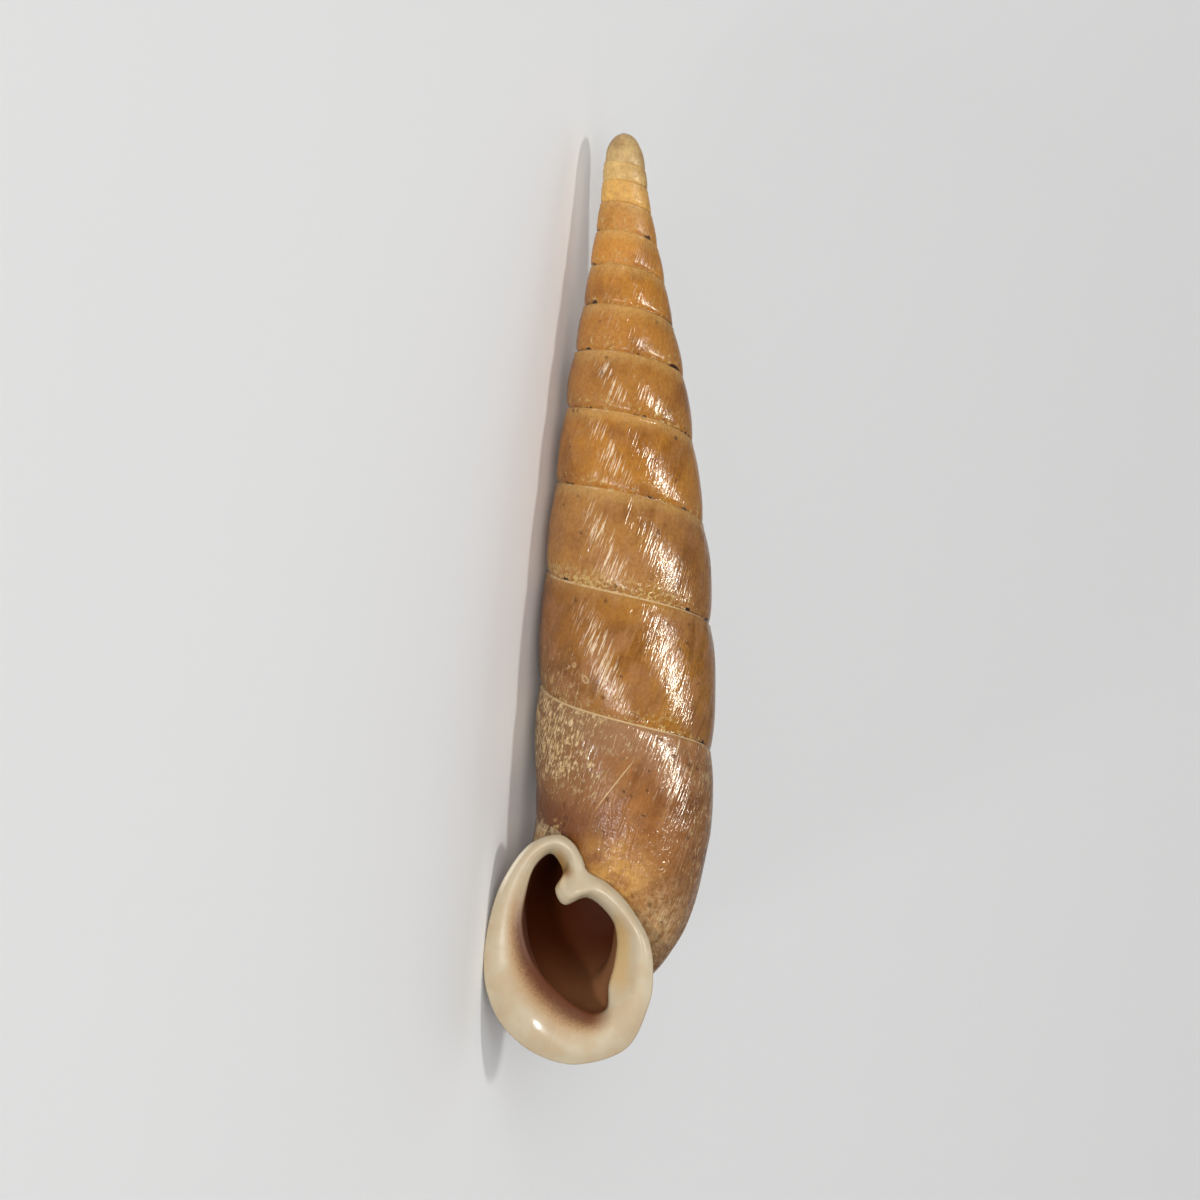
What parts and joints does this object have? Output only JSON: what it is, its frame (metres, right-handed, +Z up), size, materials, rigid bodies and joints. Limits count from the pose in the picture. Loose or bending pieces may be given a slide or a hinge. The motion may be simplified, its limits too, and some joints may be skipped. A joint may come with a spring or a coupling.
{
  "type": "door snail shell",
  "caption": "Tall spindle-shaped land snail shell that coils to the left, with a glossy turned-out lip round a pear-shaped mouth.",
  "frame": {"origin": "middle of the footprint box, on the surface the shell lies on", "axes": "+Y from the lip towards the tip, along the longest extent; +Z up; the mouth faces -X and a little up"},
  "size_m": [0.0096, 0.0438, 0.0088],
  "materials": {
    "shell": "satin"
  },
  "bodies": {
    "root": {"shell": "shell"}
  },
  "joints": []
}
